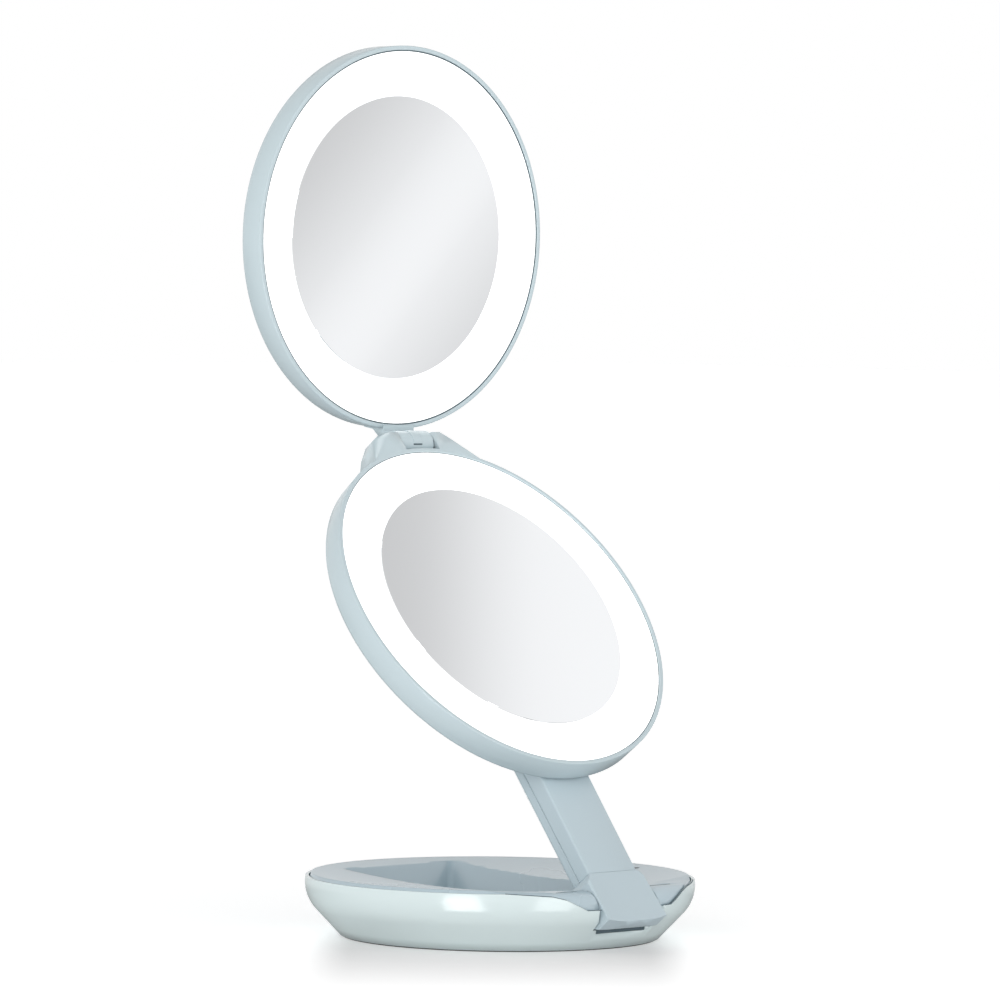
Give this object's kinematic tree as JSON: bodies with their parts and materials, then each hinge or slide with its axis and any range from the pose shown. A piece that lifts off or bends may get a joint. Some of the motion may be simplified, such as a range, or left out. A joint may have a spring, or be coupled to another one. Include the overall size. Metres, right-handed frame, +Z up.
{
  "type": "lighted compact mirror",
  "caption": "Folding lighted travel mirror: round ring-lit mirror heads hinged edge to edge, carried by a hinged, sliding arm over a dished round base.",
  "frame": {"origin": "centre of the base's underside, on the surface that the mirror stands on", "axes": "+Z up; the faces of the mirrors and the foot of the arm look towards -Y; +X is to the right as seen from the front; the mirror is symmetric about x = 0"},
  "size_m": [0.138, 0.1397, 0.3152],
  "materials": {
    "bowl_blue": "gloss",
    "tray_blue": "satin",
    "arm_blue": "satin",
    "head_blue": "gloss",
    "black_rubber": "matte",
    "ballast_iron": "rough",
    "white_plastic": "matte",
    "cell_jacket": "satin",
    "contact_metal": "satin",
    "green_board": "satin",
    "dark_plastic": "satin",
    "lens_dark": "gloss",
    "steel": "brushed",
    "mirror_glass": "mirror",
    "light_ring": "translucent white",
    "white_board": "satin",
    "lamp_yellow": "gloss"
  },
  "bodies": {
    "base": {"base_bowl": "bowl_blue", "base_tray": "tray_blue", "bottom_cover": "bowl_blue", "foot_ring": "black_rubber", "ballast_plate": "ballast_iron", "cell_cradles": "white_plastic", "battery_cells": "cell_jacket", "contact_springs": "contact_metal", "contact_plates": "contact_metal", "control_board": "green_board", "tact_switch": "dark_plastic", "indicator_lens": "lens_dark", "base_screws": "steel", "base_hinge_pin": "steel", "hinge_washers": "steel"},
    "button": {"power_button": "bowl_blue"},
    "arm": {"foot_block": "arm_blue", "arm_front_cover": "arm_blue", "arm_back_cover": "arm_blue", "arm_core": "steel", "arm_cable": "black_rubber", "carriage_front": "arm_blue", "carriage_back": "arm_blue", "slide_runner": "steel", "runner_screws": "steel", "glide_pads": "white_plastic", "arm_screws": "steel"},
    "lower_head": {"lower_back_shell": "head_blue", "lower_track": "dark_plastic", "lower_glass_frame": "white_plastic", "lower_glass": "mirror_glass", "lower_diffuser": "light_ring", "lower_led_board": "white_board", "lower_leds": "lamp_yellow", "lower_screws": "steel", "upper_hinge_pin": "steel"},
    "upper_head": {"upper_back_shell": "head_blue", "upper_neck": "head_blue", "neck_screws": "steel", "upper_glass_frame": "white_plastic", "upper_glass": "mirror_glass", "upper_diffuser": "light_ring", "upper_led_board": "white_board", "upper_leds": "lamp_yellow", "upper_screws": "steel"}
  },
  "joints": [
    {"name": "arm_fold", "type": "hinge", "parent": "base", "child": "arm", "pos_m": [0, -0.0568, 0.014], "axis": [1, 0, 0], "range_deg": [-51.8, 0]},
    {"name": "head_slide", "type": "slide", "parent": "arm", "child": "lower_head", "axis": [0, 0.6184, 0.7859], "range_m": [-0.0597, 0]},
    {"name": "upper_fold", "type": "hinge", "parent": "lower_head", "child": "upper_head", "pos_m": [0, 0.04994, 0.17241], "axis": [-1, 0, 0], "range_deg": [-140.6, 39.4]},
    {"name": "button_press", "type": "slide", "parent": "base", "child": "button", "axis": [0, -1, 0], "range_m": [0, 0.0008], "stiffness_N_per_m": 400, "springref_m": -0.001}
  ]
}
